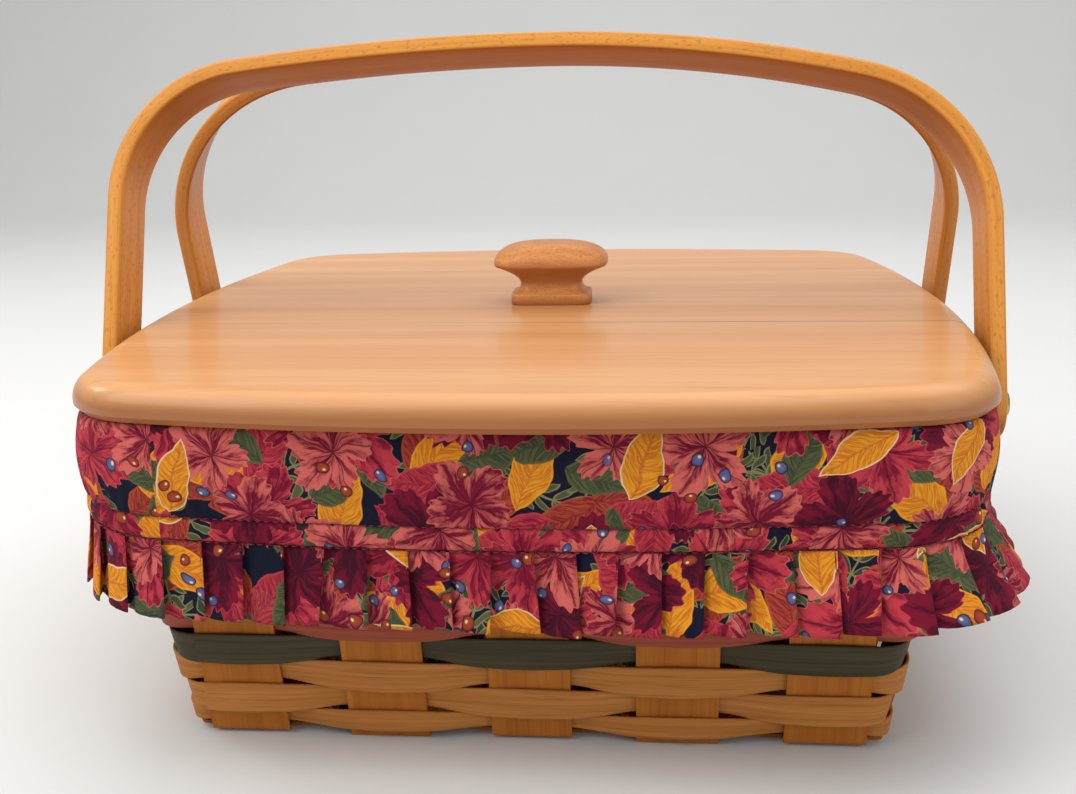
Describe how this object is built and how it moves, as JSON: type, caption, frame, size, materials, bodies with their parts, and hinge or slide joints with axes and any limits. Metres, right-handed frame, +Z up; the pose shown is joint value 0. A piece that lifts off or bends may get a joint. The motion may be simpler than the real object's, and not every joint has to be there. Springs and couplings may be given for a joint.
{
  "type": "lidded basket",
  "caption": "Square splint-woven basket with a flat wooden lid, two swing handles and a printed cloth liner turned down over the rim.",
  "frame": {"origin": "middle of the woven bottom, on the ground", "axes": "+X to the right between the handle pivots, +Y to the back, +Z up"},
  "size_m": [0.3666, 0.347, 0.2592],
  "materials": {
    "upright_splints": "oiled splint",
    "weavers": "oiled splint",
    "green_weaver": "dyed splint",
    "red_weaver": "dyed splint",
    "rim_bands": "oiled splint",
    "tacks": "plain",
    "rivets": "plain",
    "spacers": "turned, oiled",
    "liner_cloth": "printed cotton",
    "elastic": "woven elastic",
    "handles": "steam-bent, satin varnish",
    "lid_boards": "satin varnish",
    "battens": "plain",
    "brads": "plain",
    "knob": "turned, satin varnish"
  },
  "bodies": {
    "basket": {"splint_front_back_1": "upright_splints", "splint_front_back_2": "upright_splints", "splint_front_back_3": "upright_splints", "splint_front_back_4": "upright_splints", "splint_front_back_5": "upright_splints", "splint_left_right_1": "upright_splints", "splint_left_right_2": "upright_splints", "splint_left_right_3": "upright_splints", "splint_left_right_4": "upright_splints", "splint_left_right_5": "upright_splints", "weaver_row_1": "weavers", "weaver_row_2": "weavers", "weaver_row_3": "weavers", "weaver_row_6": "weavers", "weaver_row_7": "weavers", "weaver_row_8": "weavers", "weaver_row_9": "weavers", "weaver_row_10": "weavers", "weaver_row_4": "green_weaver", "weaver_row_5": "red_weaver", "rim_outer_band": "rim_bands", "rim_inner_band": "rim_bands", "rim_tacks": "tacks", "handle_rivets": "rivets", "rivet_washers": "rivets", "handle_spacers": "spacers", "liner_bag": "liner_cloth", "liner_cuff": "liner_cloth", "liner_casing": "liner_cloth", "liner_ruffle": "liner_cloth", "liner_elastic": "elastic"},
    "lid": {"lid_front_board": "lid_boards", "lid_back_board": "lid_boards", "lid_batten_left": "battens", "lid_batten_right": "battens", "batten_brads": "brads", "knob": "knob", "knob_screw": "brads"},
    "front_handle": {"front_handle": "handles"},
    "back_handle": {"back_handle": "handles"}
  },
  "joints": [
    {"name": "front_handle_swing", "type": "hinge", "parent": "basket", "child": "front_handle", "pos_m": [0, -0.0608, 0.113], "axis": [1, 0, 0], "range_deg": [0, 115]},
    {"name": "back_handle_swing", "type": "hinge", "parent": "basket", "child": "back_handle", "pos_m": [0, 0.0608, 0.113], "axis": [-1, 0, 0], "range_deg": [0, 115]},
    {"name": "lid_lift", "type": "slide", "parent": "basket", "child": "lid", "axis": [0, 0, 1], "range_m": [0, 0.012]}
  ]
}
